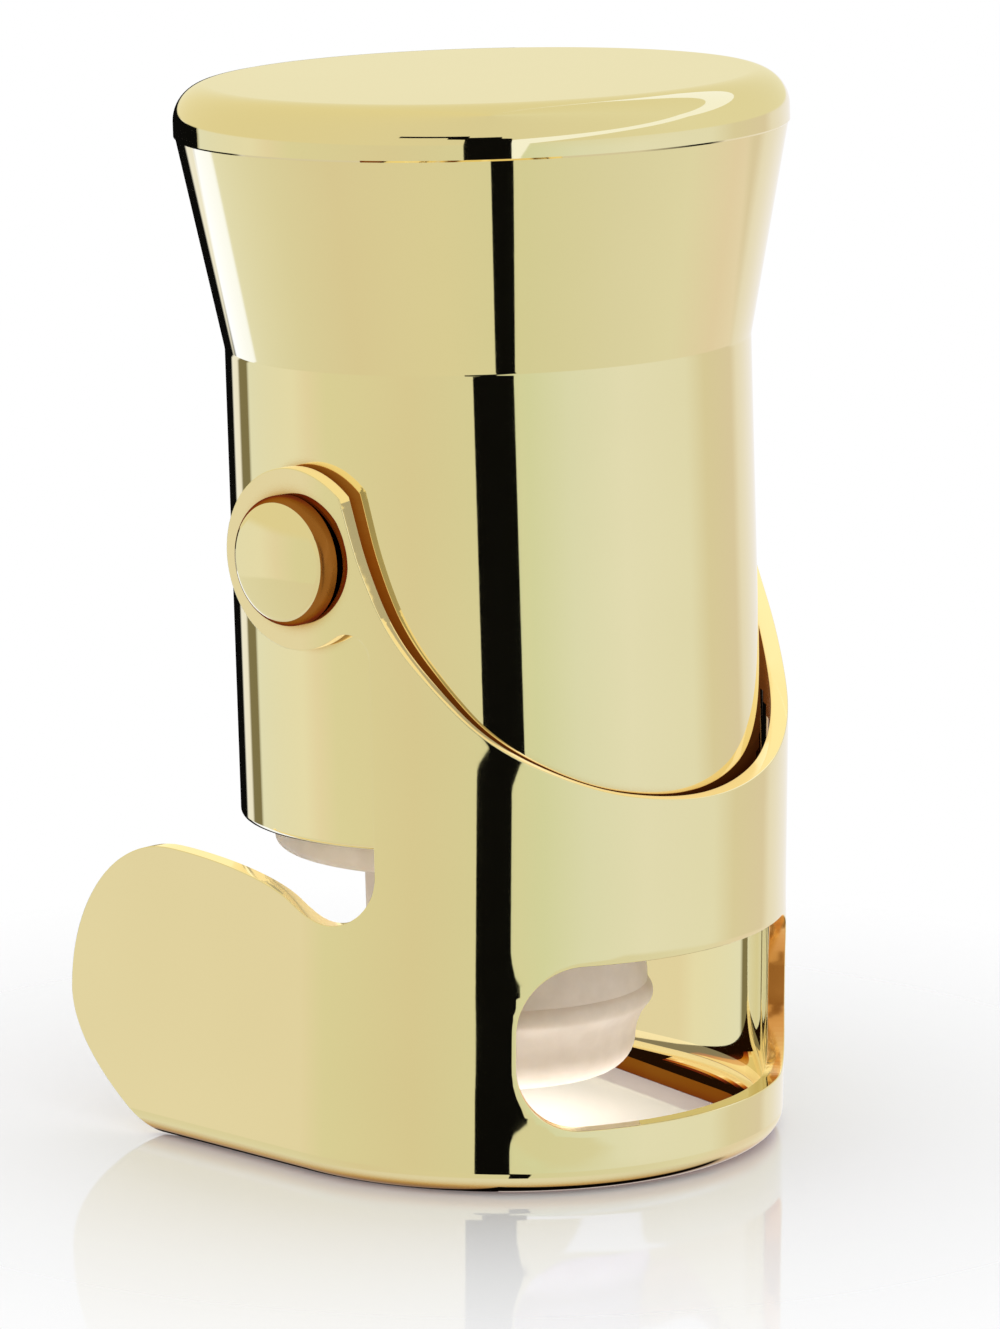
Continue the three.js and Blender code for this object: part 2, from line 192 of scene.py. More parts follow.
def polished_gold(name, painted_shade_reach):
    """Mirror plating: two close golds in slow clouds, fine buffing haze and painted brown shade in narrow
    folds.

    Faces carry a share of painted shade. Where it is high they are painted browner, for shade and
    gold-on-gold reflections, and made duller, and a painted glow keeps them from going black between two
    mirrors.
    """
    material, tree, shader = new_finish(name)
    shader.inputs["Metallic"].default_value = 1
    clouds = ramp(tree, grain(tree, scale=55, detail=2), [(0.3, gold_shade), (0.7, gold)])
    # Painted shade: the gold is darkened to brown where ambient occlusion finds a narrow fold.
    openness = tree.nodes.new("ShaderNodeAmbientOcclusion")
    openness.samples = 6
    openness.inputs["Distance"].default_value = painted_shade_reach
    painted_fold_shade = ramp(tree, openness.outputs["AO"], [
        (0.25, (0.22, 0.07, 0.012)), (0.52, (0.74, 0.46, 0.15)), (0.8, white)])
    # Painted shade: a face share turns the gold brown, for shade and gold-on-gold reflections, and makes it
    # duller.
    painted_shade = tree.nodes.new("ShaderNodeAttribute")
    painted_shade.attribute_name = "painted_shade"
    painted_browns = ramp(tree, painted_shade.outputs["Fac"], [
        (0, white), (0.5, (0.50, 0.24, 0.06)), (0.8, (0.24, 0.09, 0.02)), (1, (0.03, 0.012, 0.004))])
    # Painted light: faces with that share glow a little, though they are no lamp.
    painted_glow = ramp(tree, painted_shade.outputs["Fac"], [
        (0, black), (0.1, (0.46, 0.38, 0.18)), (0.2, (0.34, 0.19, 0.045)), (0.4, (0.26, 0.085, 0.01)),
        (0.7, (0.05, 0.015, 0.004)), (1, (0.012, 0.004, 0.001))])
    tree.links.new(tinted(tree, tinted(tree, clouds, painted_fold_shade), painted_browns), shader.inputs["Base Color"])
    tree.links.new(painted_browns, shader.inputs["Specular Tint"])
    tree.links.new(painted_glow, shader.inputs["Emission Color"])
    shader.inputs["Emission Strength"].default_value = 1
    haze = grain(tree, scale=900, detail=4)
    roughness = spread(tree, haze, mirror_roughness * haze_least_share, mirror_roughness * haze_most_share)
    dulled = tree.nodes.new("ShaderNodeMath")
    dulled.operation = "MULTIPLY_ADD"
    dulled.inputs[1].default_value = painted_shade_roughness
    tree.links.new(painted_shade.outputs["Fac"], dulled.inputs[0])
    tree.links.new(roughness, dulled.inputs[2])
    tree.links.new(dulled.outputs["Value"], shader.inputs["Roughness"])
    make_uneven(tree, shader, haze, strength=0.02, depth=0.00002)
    return material


def give(piece, material):
    piece.data.materials.clear()
    piece.data.materials.append(material)


cone_slope = (rim_radius - rim_step - cap_radius) / (rim_foot - crease_height)
roof_radius = cap_radius + cone_slope * (cap_roof - crease_height) - cast_wall
cap_outline = [
    (pilot_radius, pilot_top),
    (pilot_radius, boss_foot),
    (boss_radius, boss_foot),
    *arc(boss_radius + boss_fillet, cap_roof - boss_fillet, boss_fillet, 180, 90, 6),
    *arc(roof_radius - boss_fillet, cap_roof - boss_fillet, boss_fillet, 90, 0, 6),
    (cap_radius - cast_wall, crease_height),
    (cap_radius - cast_wall, socket_top),
    (skirt_bore, socket_top),
    (skirt_bore, skirt_foot),
    *arc(cap_radius - skirt_edge, skirt_foot + skirt_edge, skirt_edge, -90, 0, 8),
    (cap_radius, crease_height - crease_half),
    (cap_radius + cone_slope * crease_half * 0.25, crease_height),
    (cap_radius + cone_slope * crease_half, crease_height + crease_half),
    (rim_radius - rim_step, rim_foot),
    (rim_radius, rim_foot + rim_step),
    *arc(rim_radius - rim_round, cap_top - rim_round, rim_round, 0, 90, 14),
]
cap = turned("cap_body_polished", cap_outline, cap_steps)
lean_with_cap(cap)
finish_shading(cap, angle=25)
give(cap, polished_gold("polished_gold_casting", casting_painted_shade_reach))
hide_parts("cap_body")
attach(cap, "cap")

# The seal carrier: a moulded plastic disc with a barbed post, drawn up against the cap's boss.
# Its zinc plated screw goes in from below, before the silicone is stretched over the post.
carrier_beige = (0.66, 0.63, 0.55)
carrier_shade = (0.62, 0.59, 0.51)
zinc = (0.55, 0.56, 0.57)
zinc_shade = (0.47, 0.48, 0.50)


def moulded_plastic(name, colour, shade, roughness):
    """Two close tones in a fine grain, which also leaves the surface a little uneven."""
    material, tree, shader = new_finish(name)
    speckle = grain(tree, scale=700, detail=5)
    tree.links.new(ramp(tree, speckle, [(0.35, shade), (0.65, colour)]), shader.inputs["Base Color"])
    tree.links.new(spread(tree, speckle, roughness * 0.85, roughness * 1.15), shader.inputs["Roughness"])
    make_uneven(tree, shader, speckle, strength=0.15, depth=0.00005)
    return material


def plated_steel(name, colour, shade, roughness):
    material = moulded_plastic(name, colour, shade, roughness)
    material.node_tree.nodes["Principled BSDF"].inputs["Metallic"].default_value = 1.0
    return material


give(nodes["seal_carrier"], moulded_plastic("carrier_plastic", carrier_beige, carrier_shade, 0.42))
zinc_plate = plated_steel("zinc_plated_steel", zinc, zinc_shade, 0.32)
give(nodes["carrier_screw"], zinc_plate)

# The seal: one beige grey silicone moulding, a flange over the bottle's lip and a plug with a bead.
# The flange sits in the cap's skirt, and the plug is stretched over the carrier's barbed post.
flange_radius = 0.0144
flange_foot = 0.0188
flange_thickness = 0.0036
flange_edge = 0.0006
plug_radius = 0.0088
plug_fillet = 0.0007
bead_radius = 0.00925
bead_height = 0.0085
bead_round = 0.0009
swell_start = 0.0021
swell_start_out = 0.0001
swell_end = 0.00125
swell_end_out = 0.00045
neck_start = 0.0014
neck_start_out = 0.00012
neck_end = 0.0022
nose_radius = 0.00805
nose_round = 0.0022
plug_foot = 0.0036
post_socket = 0.0061
socket_foot = 0.0062
barb_foot = 0.0065
barb_height = 0.0012
barb_reach = 0.0005
first_ring = 0.0005
seal_steps = 160
seal_beige = (0.86, 0.75, 0.63)
seal_shade = (0.80, 0.69, 0.57)

seal_outline = [
    (first_ring, plug_foot),
    *arc(nose_radius - nose_round, plug_foot + nose_round, nose_round, -90, 0, 10),
    (nose_radius + swell_start_out, bead_height - swell_start),
    (nose_radius + swell_end_out, bead_height - swell_end),
    *arc(bead_radius - bead_round, bead_height, bead_round, -52, 52, 8),
    (plug_radius + neck_start_out, bead_height + neck_start),
    (plug_radius, bead_height + neck_end),
    *arc(plug_radius + plug_fillet, flange_foot - plug_fillet, plug_fillet, 180, 90, 6),
    *arc(flange_radius - flange_edge, flange_foot + flange_edge, flange_edge, -90, 0, 6),
    (flange_radius, flange_foot + flange_thickness),
    (post_socket, flange_foot + flange_thickness),
    (post_socket, barb_foot + 2 * barb_height),
    (post_socket + barb_reach, barb_foot + barb_height),
    (post_socket + barb_reach, socket_foot),
    (first_ring, socket_foot),
]
seal = turned("seal_silicone", seal_outline, seal_steps)
lean_with_cap(seal)
finish_shading(seal, angle=40)


def silicone(name, colour, shade):
    """Satin silicone: a fine matt grain, and a little light passing through."""
    material = moulded_plastic(name, colour, shade, 0.45)
    shader = material.node_tree.nodes["Principled BSDF"]
    shader.inputs["Subsurface Weight"].default_value = 0.25
    shader.inputs["Subsurface Radius"].default_value = (0.9, 0.7, 0.5)
    shader.inputs["Subsurface Scale"].default_value = 0.001
    return material


give(seal, silicone("beige_silicone", seal_beige, seal_shade))
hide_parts("seal_plug")
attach(seal, "cap")

# The pivots: a domed rivet each side, through the collar's ear, a nylon washer and the cap's wall.
# Its tail is peened over a steel burr inside the cap. The head's top is buffed like the collar, and its
# side is given a painted brown shade and reflection.
shank_radius = 0.00175
head_radius = 0.00405
head_height = 0.0016
head_edge = 0.0008
head_dome = 0.0003
head_seat = 0.01815
head_foot_ease = 0.0001
tail_radius = 0.0027
tail_face = 0.0121
tail_height = 0.0009
rivet_steps = 96
side_painted_shade = 0.7
side_tilt = 0.87
sheet_painted_shade_reach = 0.0012
nylon_white = (0.70, 0.67, 0.58)
nylon_shade = (0.66, 0.63, 0.55)

head_rim = head_seat + head_height - head_dome
rivet_outline = [
    (tail_radius * 0.2, tail_face - tail_height),
    (tail_radius * 0.8, tail_face - tail_height),
    (tail_radius * 0.95, tail_face - tail_height * 0.8),
    (tail_radius, tail_face - tail_height * 0.5),
    (tail_radius, tail_face),
    (shank_radius, tail_face),
    (shank_radius, head_seat),
    (head_radius - head_foot_ease, head_seat),
    (head_radius, head_seat + head_foot_ease),
    *arc(head_radius - head_edge, head_rim - head_edge, head_edge, 0, 82, 10),
    ((head_radius - head_edge) * 0.75, head_rim + head_dome * 0.4375),
    ((head_radius - head_edge) * 0.5, head_rim + head_dome * 0.75),
    ((head_radius - head_edge) * 0.25, head_rim + head_dome * 0.9375),
    ((head_radius - head_edge) * 0.03, head_rim + head_dome),
]


def mark_painted_shade(piece, shares):
    """Marks how much painted brown shade each face gets, from none at 0 to nearly black at 1."""
    brown = piece.data.attributes.new("painted_shade", "FLOAT", "FACE")
    brown.data.foreach_set("value", shares)


sheet_gold = polished_gold("polished_gold_sheet", sheet_painted_shade_reach)
nylon = moulded_plastic("washer_nylon", nylon_white, nylon_shade, 0.4)
for side, turn in (("right", 90), ("left", -90)):
    rivet = turned(f"rivet_{side}_polished", rivet_outline, rivet_steps)
    # Painted shade: the head's side gets a brown share.
    mark_painted_shade(rivet, [side_painted_shade if abs(face.normal.z) < side_tilt and face.center.z > head_seat else 0
                             for face in rivet.data.polygons])
    rivet.data.transform(Matrix.Translation(pivot) @ Matrix.Rotation(math.radians(turn), 4, "Y"))
    finish_shading(rivet)
    give(rivet, sheet_gold)
    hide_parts(f"rivet_{side}")
    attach(rivet, "cap")
    give(nodes[f"pivot_washer_{side}"], nylon)
    give(nodes[f"rivet_burr_{side}"], zinc_plate)

# The clamp collar: one blank of sheet, punched flat, its edges eased, its foot turned in along the fork,
# then bent round into a U and plated. Its arched edge runs up to two ears, its arms end in thumb wings,
# a window shows the seal, and the fork passes under the ring of the bottle's neck.
collar_radius = 0.0181
sheet = 0.0011
edge_ease = 0.00014
score_gap = 0.0007
foot_bend = 0.0015
wing_reach = 0.0204
wing_widest = 0.0086
wing_top = 0.0190
wing_top_behind = 0.0115
wing_foot_behind = 0.0130
ear_radius = 0.00565
pivot_behind = 0.0008
arch_front = 0.0242
arch_ear = 0.0431
arm_rear = 0.0055
arm_lean = 0.0004
arm_fillet = 0.0015
notch_radius = 0.0034
notch_height = 0.0197
notch_forward = 0.0021
window_half = math.radians(43.7)
window_foot = 0.00405
window_top = 0.01445
window_corner = 0.0042
fork_front = 0.0128
fork_front_half = 0.0114
fork_corner = 0.005
hole_radius = 0.00185
hole_steps = 72
slot_corner_steps = 14
slot_side_steps = 40
slot_front_steps = 10
wing_steps = 24
rear_steps = 20
notch_steps = 14
arm_steps = 12
fillet_steps = 10
ear_steps = 60
arch_steps = 96
window_steps = 16
window_corner_steps = 20
weld_reach = 1e-6
side_start = collar_radius * math.pi / 2
foot_length = foot_bend * math.pi / 2


def edit(piece):
    clear_selection()
    piece.select_set(True)
    bpy.context.view_layer.objects.active = piece
    bpy.ops.object.mode_set(mode="EDIT")


def outline_face(name, points):
    """A face whose corners are set one by one, as an outline is drawn."""
    clear_selection()
    bpy.ops.mesh.primitive_circle_add(
        vertices=len(points), radius=edge_ease, fill_type="NGON", location=(0, 0, 0))
    face = bpy.context.object
    face.name = name
    for vertex, point in zip(face.data.vertices, points):
        vertex.co = point
    return face


def curve_to(start, middle, end, steps):
    """Points of a quadratic curve after its start."""
    points = []
    for i in range(1, steps + 1):
        t = i / steps
        points.append(tuple(
            a * (1 - t) ** 2 + 2 * b * t * (1 - t) + c * t ** 2 for a, b, c in zip(start, middle, end)))
    return points


def cubic_to(start, first, second, end, steps):
    """Points of a cubic curve after its start."""
    points = []
    for i in range(1, steps + 1):
        t = i / steps
        s = 1 - t
        points.append(tuple(a * s ** 3 + 3 * b * s * s * t + 3 * c * s * t * t + d * t ** 3
                            for a, b, c, d in zip(start, first, second, end)))
    return points


def along_sheet(y, z):
    """A point seen from the side, as a place on the flat blank: along the wall and up it."""
    along = side_start + y if y > 0 else collar_radius * math.acos(-y / collar_radius)
    if z < foot_bend:
        z = foot_bend - foot_bend * math.asin(min(1 - z / foot_bend, 1))
    return along, z


# The blank's right half, drawn from the fork's closed front round to the arch's middle
inner_wall = collar_radius - sheet
taper = (inner_wall - fork_front_half) / (wing_foot_behind + fork_front)
corner_half = fork_front_half + taper * fork_corner
slot = [(fork_front_half - fork_corner, -fork_front)]
slot += curve_to(slot[-1], (fork_front_half, -fork_front), (corner_half, -fork_front + fork_corner),
                 slot_corner_steps)
for i in range(1, slot_side_steps + 1):
    y = -fork_front + fork_corner + (wing_foot_behind + fork_front - fork_corner) * i / slot_side_steps
    slot.append((fork_front_half + taper * (y + fork_front), y))
slot = [(slot[0][0] * i / slot_front_steps, -fork_front) for i in range(slot_front_steps)] + slot


def slot_on_blank(x, y):
    """A point of the slot, seen from below, as a place on the flat blank."""
    if y < 0:
        along = collar_radius * math.atan2(x, -y)
        depth = collar_radius - math.hypot(x, y)
    else:
        along = side_start + y
        depth = collar_radius - x
    if depth >= foot_bend:
        return along, foot_bend - foot_length - (depth - foot_bend)
    return along, foot_bend - foot_bend * math.acos(1 - depth / foot_bend)


blank = [slot_on_blank(x, y) for x, y in slot]
heel = (wing_reach - wing_foot_behind) * 0.6
wing_back = curve_to((wing_foot_behind, 0), (wing_reach, heel), (wing_reach, wing_widest), wing_steps)
blank += [along_sheet(y, z) for y, z in wing_back]
for i in range(1, wing_steps + 1):
    angle = math.radians(90 * i / wing_steps)
    blank.append(along_sheet(wing_top_behind + (wing_reach - wing_top_behind) * math.cos(angle),
                             wing_widest + (wing_top - wing_widest) * math.sin(angle)))
notch_foot = notch_height - notch_radius
sway = (wing_top_behind * 0.09, notch_foot + (wing_top - notch_foot) * 0.4)
rear = cubic_to((wing_top_behind, wing_top), (wing_top_behind * 0.7, wing_top),
                (wing_top_behind * 0.28, wing_top - (wing_top - sway[1]) * 0.3), sway, rear_steps)
rear += cubic_to(sway, (0, sway[1] - (sway[1] - notch_foot) * 0.55), (-notch_forward * 0.5, notch_foot),
                 (-notch_forward, notch_foot), notch_steps)
rear += arc(-notch_forward, notch_height, notch_radius, -90, -180, notch_steps)[1:]
arm_face = -arm_rear + arm_lean
fillet_y = arm_face + arm_fillet
fillet_z = pivot.z - math.sqrt((ear_radius + arm_fillet) ** 2 - (pivot_behind - fillet_y) ** 2)
ear_start = math.degrees(math.atan2(fillet_z - pivot.z, fillet_y - pivot_behind))
arch_y = pivot_behind - math.sqrt(ear_radius ** 2 - (arch_ear - pivot.z) ** 2)
arch_end = math.acos(-arch_y / collar_radius)
ear_end = math.degrees(math.acos((arch_y - pivot_behind) / ear_radius))
notch_y = rear[-1][0]
for i in range(1, arm_steps + 1):
    rear.append((notch_y + (arm_face - notch_y) * i / arm_steps,
                 notch_height + (fillet_z - notch_height) * i / arm_steps))
rear += arc(fillet_y, fillet_z, arm_fillet, 180, ear_start + 180, fillet_steps)[1:]
rear += arc(pivot_behind, pivot.z, ear_radius, ear_start, ear_end, ear_steps)[1:]
blank += [along_sheet(y, z) for y, z in rear]

# The arched edge, back from the ear to the middle of the front
arch_shares = [(0, 0), (0.25, 0.037), (0.44, 0.118), (0.62, 0.245),
               (0.77, 0.43), (0.87, 0.592), (0.945, 0.79), (1, 1)]


def arch_height(share):
    """A smooth curve through the arch's points, read at a share of the way to the ear."""
    points = [(-arch_shares[1][0], arch_shares[1][1]), *arch_shares,
              (2 - arch_shares[-2][0], 2 - arch_shares[-2][1])]
    for i in range(1, len(points) - 2):
        (x0, y0), (x1, y1), (x2, y2), (x3, y3) = points[i - 1:i + 3]
        if x1 <= share <= x2:
            t = (share - x1) / (x2 - x1)
            slope_in = (y2 - y0) / (x2 - x0) * (x2 - x1)
            slope_out = (y3 - y1) / (x3 - x1) * (x2 - x1)
            rise = (y1 * (2 * t ** 3 - 3 * t ** 2 + 1) + slope_in * (t ** 3 - 2 * t ** 2 + t)
                    + y2 * (3 * t ** 2 - 2 * t ** 3) + slope_out * (t ** 3 - t ** 2))
            return arch_front + (arch_ear - arch_front) * rise
    return arch_ear


for i in range(1, arch_steps + 1):
    share = 1 - i / arch_steps
    blank.append((collar_radius * arch_end * share, arch_height(share)))

# The window's right half, from its top middle round to its foot
window_reach = window_half * collar_radius
window_straight = window_reach - window_corner
for i in range(window_steps + 1):
    blank.append((window_straight * i / window_steps, window_top))
for z, turned_by in ((window_top - window_corner, 0), (window_foot + window_corner, 90)):
    for i in range(1, window_corner_steps + 1):
        angle = math.radians(90 - turned_by - 90 * i / window_corner_steps)
        blank.append((window_straight + window_corner * math.cos(angle), z + window_corner * math.sin(angle)))
for i in range(1, window_steps + 1):
    blank.append((window_straight * (1 - i / window_steps), window_foot))

# The blank is mirrored, given its thickness, pierced for the rivets, and its edges are eased
collar = outline_face("clamp_collar_polished", [(along, 0, height) for along, height in blank])
edit(collar)
bpy.ops.mesh.select_all(action="SELECT")
bpy.ops.mesh.remove_doubles(threshold=weld_reach)
bpy.ops.object.mode_set(mode="OBJECT")
bpy.ops.object.modifier_add(type="MIRROR")
collar.modifiers[-1].merge_threshold = weld_reach
bpy.ops.object.modifier_apply(modifier=collar.modifiers[-1].name)
edit(collar)
bpy.ops.mesh.select_all(action="SELECT")
bpy.ops.mesh.extrude_region_move(TRANSFORM_OT_translate={"value": (0, sheet, 0)})
bpy.ops.mesh.select_all(action="SELECT")
bpy.ops.mesh.normals_make_consistent(inside=False)
bpy.ops.object.mode_set(mode="OBJECT")
for side in (-1, 1):
    bpy.ops.mesh.primitive_cylinder_add(vertices=hole_steps, radius=hole_radius, depth=3 * sheet,
                                        location=(side * (side_start + pivot_behind), 0, pivot.z),
                                        rotation=(math.pi / 2, 0, 0))
    punch = bpy.context.object
    clear_selection()
    collar.select_set(True)
    bpy.context.view_layer.objects.active = collar
    bpy.ops.object.modifier_add(type="BOOLEAN")
    collar.modifiers[-1].operation = "DIFFERENCE"
    collar.modifiers[-1].solver = "EXACT"
    collar.modifiers[-1].object = punch
    bpy.ops.object.modifier_apply(modifier=collar.modifiers[-1].name)
    bpy.data.objects.remove(punch, do_unlink=True)
bpy.ops.object.modifier_add(type="BEVEL")
collar.modifiers[-1].limit_method = "ANGLE"
collar.modifiers[-1].angle_limit = math.radians(60)
collar.modifiers[-1].width = edge_ease
collar.modifiers[-1].segments = 4
bpy.ops.object.modifier_apply(modifier=collar.modifiers[-1].name)

# The true directions of the flat blank's faces are kept, to be carried through the bends
finish_shading(collar, angle=40)
flat_normals = collar.data.attributes.new("flat_normal", "FLOAT_VECTOR", "CORNER")
for kept, corner in zip(flat_normals.data, collar.data.corner_normals):
    kept.vector = corner.vector
bpy.ops.mesh.customdata_custom_splitnormals_clear()

# Painted shade: the cut edges, the skin close under the arch and the ledge beside its slot are painted brown
# for shade and gold-on-gold reflections, deep along the foot and the slot, and pale on the arms and the arch.
inner_skin = 0.7
outer_skin = -0.2
foot_start = foot_bend - foot_length * 0.7
foot_painted_shade = 0.75
ledge_start = foot_bend - foot_length
ledge_dark = 0.0013
ledge_blend = 0.0009
ledge_painted_shade = 0.05
fold_edge = 0.0024
fold_painted_shade = 0.72
fold_painted_shade_loss = 0.4
window_painted_shade = 0.45
arm_painted_shade = 0.1
arm_top_gap = 0.0035
arch_painted_shade = 0.13
arch_painted_shade_loss = 0.04


def from_slot(along, height):
    """How far a place on the ledge lies from the fork's slot."""
    radius = collar_radius - foot_bend - (ledge_start - height)
    angle = min(along / collar_radius, math.pi / 2)
    x = radius * math.sin(angle)
    y = max(along - side_start, 0) - radius * math.cos(angle)
    return max(x - fork_front_half - taper * (y + fork_front), -y - fork_front)


def below_arch(along, height):
    """How far a place on the wall lies below the arched edge."""
    return arch_height(min(abs(along) / (collar_radius * arch_end), 1)) - height


def painted_shade_share(face):
    """How much painted brown shade a face of the flat blank gets, by the way it faces and its place."""
    across, depth = face.normal[:2]
    along, height = abs(face.center.x), face.center.z
    rise = min(1, max(0, (height - arch_front) / (arch_ear - arch_front)))
    if depth > inner_skin and height < foot_bend + score_gap:
        inward = (from_slot(along, height) - ledge_dark) / ledge_blend if height < ledge_start else 1
        return max(ledge_painted_shade, min(1, 1 - inward))
    if depth > inner_skin and height > arch_front - fold_edge:
        if below_arch(along, height) < fold_edge * (1 + 2 * rise):
            return fold_painted_shade - fold_painted_shade_loss * rise
    if depth > inner_skin:
        return arm_painted_shade if height > notch_height and along > side_start - arm_rear - fold_edge else 0
    if depth < outer_skin:
        return 0
    if height < foot_start:
        return foot_painted_shade
    if along > side_start - arm_rear and height < pivot.z - arm_top_gap:
        return arm_painted_shade
    return window_painted_shade * abs(across) if height < arch_front else arch_painted_shade - arch_painted_shade_loss * rise


# The blank is scored in strips, so that it can bend round the wall and the foot, ripple up the wall and
# lose its painted shade by steps in the ledge
foot_scores = 12
wall_scores = 59
ledge_scores = 14
cut_reach = 1e-7
upright = (0, 0, 1)
score_lines = [((collar_radius * math.radians(i), 0, 0), (1, 0, 0)) for i in range(-90, 91)]
score_lines += [((0, 0, foot_bend - foot_length * i / foot_scores), upright) for i in range(foot_scores + 1)]
score_lines += [((0, 0, foot_bend + score_gap * i), upright) for i in range(1, wall_scores + 1)]
score_lines += [((0, 0, ledge_start - score_gap * i / 2), upright) for i in range(1, ledge_scores + 1)]
edit(collar)
for place, across in score_lines:
    bpy.ops.mesh.select_all(action="SELECT")
    bpy.ops.mesh.bisect(plane_co=place, plane_no=across, threshold=cut_reach)
bpy.ops.object.mode_set(mode="OBJECT")
# Painted shade: each face's brown share is stored for the gold material.
mark_painted_shade(collar, [painted_shade_share(face) for face in collar.data.polygons])

# Buffing rolls the wall in along the arched edge, and the wall stands out a trace beside the window
arch_roll = 0.00003
arch_roll_reach = 0.0022
arch_roll_depth = 0.004
window_bulge = 0.00006
window_bulge_reach = 0.0026
bulge_start_share = 0.5
bulge_blend_share = 0.4
window_roll = 0.00002
window_roll_reach = 0.0005


def ripple(along, height):
    """How far the wall stands out from its true radius."""
    rise = 0
    if height > arch_front - arch_roll_depth:
        rise = -arch_roll * max(0, 1 - max(below_arch(along, height), 0) / arch_roll_reach) ** 2
    past_side = abs(along) - window_reach + window_corner
    past_end = abs(height - (window_top + window_foot) / 2) - (window_top - window_foot) / 2 + window_corner
    gap = math.hypot(max(past_side, 0), max(past_end, 0)) + min(max(past_side, past_end), 0) - window_corner
    bulge_start = window_reach * bulge_start_share
    beside = min(1, max(0, (abs(along) - bulge_start) / (window_reach * bulge_blend_share)))
    rise += beside * window_bulge * max(0, 1 - max(gap, 0) / window_bulge_reach) ** 2
    return rise - window_roll * max(0, 1 - max(gap, 0) / window_roll_reach) ** 2


def bent(along, depth, height):
    """Where a point of the flat blank goes when the foot is turned in and the wall is bent round."""
    rise = ripple(along, max(height, foot_bend))
    below = foot_bend - height
    if below > foot_length:
        depth, height = foot_bend + below - foot_length, depth
    elif below > 0:
        turn = below / foot_bend
        reach = foot_bend - depth
        depth, height = foot_bend - reach * math.cos(turn), foot_bend - reach * math.sin(turn)
    radius = collar_radius - depth + rise
    angle = max(-math.pi / 2, min(math.pi / 2, along / collar_radius))
    behind = max(abs(along) - side_start, 0)
    return Vector((radius * math.sin(angle), behind - radius * math.cos(angle), height))


def turned_normal(flat, normal):
    """The direction of a face of the blank, carried along through the bends."""
    along, depth, height = flat
    step = 0.00001
    across = (bent(along + step, depth, height) - bent(along - step, depth, height)).normalized()
    up = (bent(along, depth, height + step) - bent(along, depth, height - step)).normalized()
    outward = across.cross(up).normalized()
    return (across * normal.x - outward * normal.y + up * normal.z).normalized()


flat_places = [v.co.copy() for v in collar.data.vertices]
kept_normals = [kept.vector.copy() for kept in collar.data.attributes["flat_normal"].data]
collar.data.attributes.remove(collar.data.attributes["flat_normal"])
directions = [turned_normal(flat_places[loop.vertex_index], kept_normals[loop.index])
              for loop in collar.data.loops]
for vertex, place in zip(collar.data.vertices, flat_places):
    vertex.co = bent(*place) + collar_axis
collar.data.update()
collar.data.normals_split_custom_set(directions)
give(collar, sheet_gold)
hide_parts("clamp_collar")
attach(collar, "collar")

# The studio: a pale glossy floor that fades into white round the stopper, and a tent of pale and tan
# cards all round it, with a dark gap at the camera and a dark edge behind. The floor gives a little
# light where the stopper covers it, so that the seal isn't lost in the stopper's own shade.
camera_azimuth = math.radians(-46.99)
floor_radius = 0.5
floor_steps = 128
floor_reach = 0.1
floor_grey = (0.80, 0.80, 0.81, 1)
floor_light = (0.97, 0.98, 1, 1)
floor_gloss = (1.06, 1.13, 1.66, 1)
gloss_share = 0.3
cover_reach = 0.03
light_everywhere = 0.1
light_on_matt = 23.0


def stepped(tree, value, start, end, stops):
    """Colours at places between two values, read by a number."""
    share = tree.nodes.new("ShaderNodeMapRange")
    share.inputs["From Min"].default_value = start
    share.inputs["From Max"].default_value = end
    tree.links.new(value, share.inputs["Value"])
    stop_shares = [((place - start) / (end - start), colour) for place, colour in stops]
    return ramp(tree, share.outputs["Result"], stop_shares)


def grey(level):
    return (level, level, level)


def mixed(tree, share, first, second):
    """The first colour where the share is 0, and the second where it is 1."""
    blend = tree.nodes.new("ShaderNodeMix")
    blend.data_type = "RGBA"
    tree.links.new(share, blend.inputs["Factor"])
    tree.links.new(first, blend.inputs["A"])
    tree.links.new(second, blend.inputs["B"])
    return blend.outputs["Result"]


def worked_out(tree, operation, first, second=0.0):
    """One step of arithmetic on numbers or sockets."""
    node = tree.nodes.new("ShaderNodeMath")
    node.operation = operation
    for socket, value in zip(node.inputs, (first, second)):
        if isinstance(value, float):
            socket.default_value = value
        else:
            tree.links.new(value, socket)
    return node.outputs["Value"]


def either_shader(tree, share, first, second):
    """The first shader where the share is 0, and the second where it is 1."""
    blend = tree.nodes.new("ShaderNodeMixShader")
    if isinstance(share, float):
        blend.inputs["Fac"].default_value = share
    else:
        tree.links.new(share, blend.inputs["Fac"])
    tree.links.new(first, blend.inputs[1])
    tree.links.new(second, blend.inputs[2])
    return blend.outputs["Shader"]


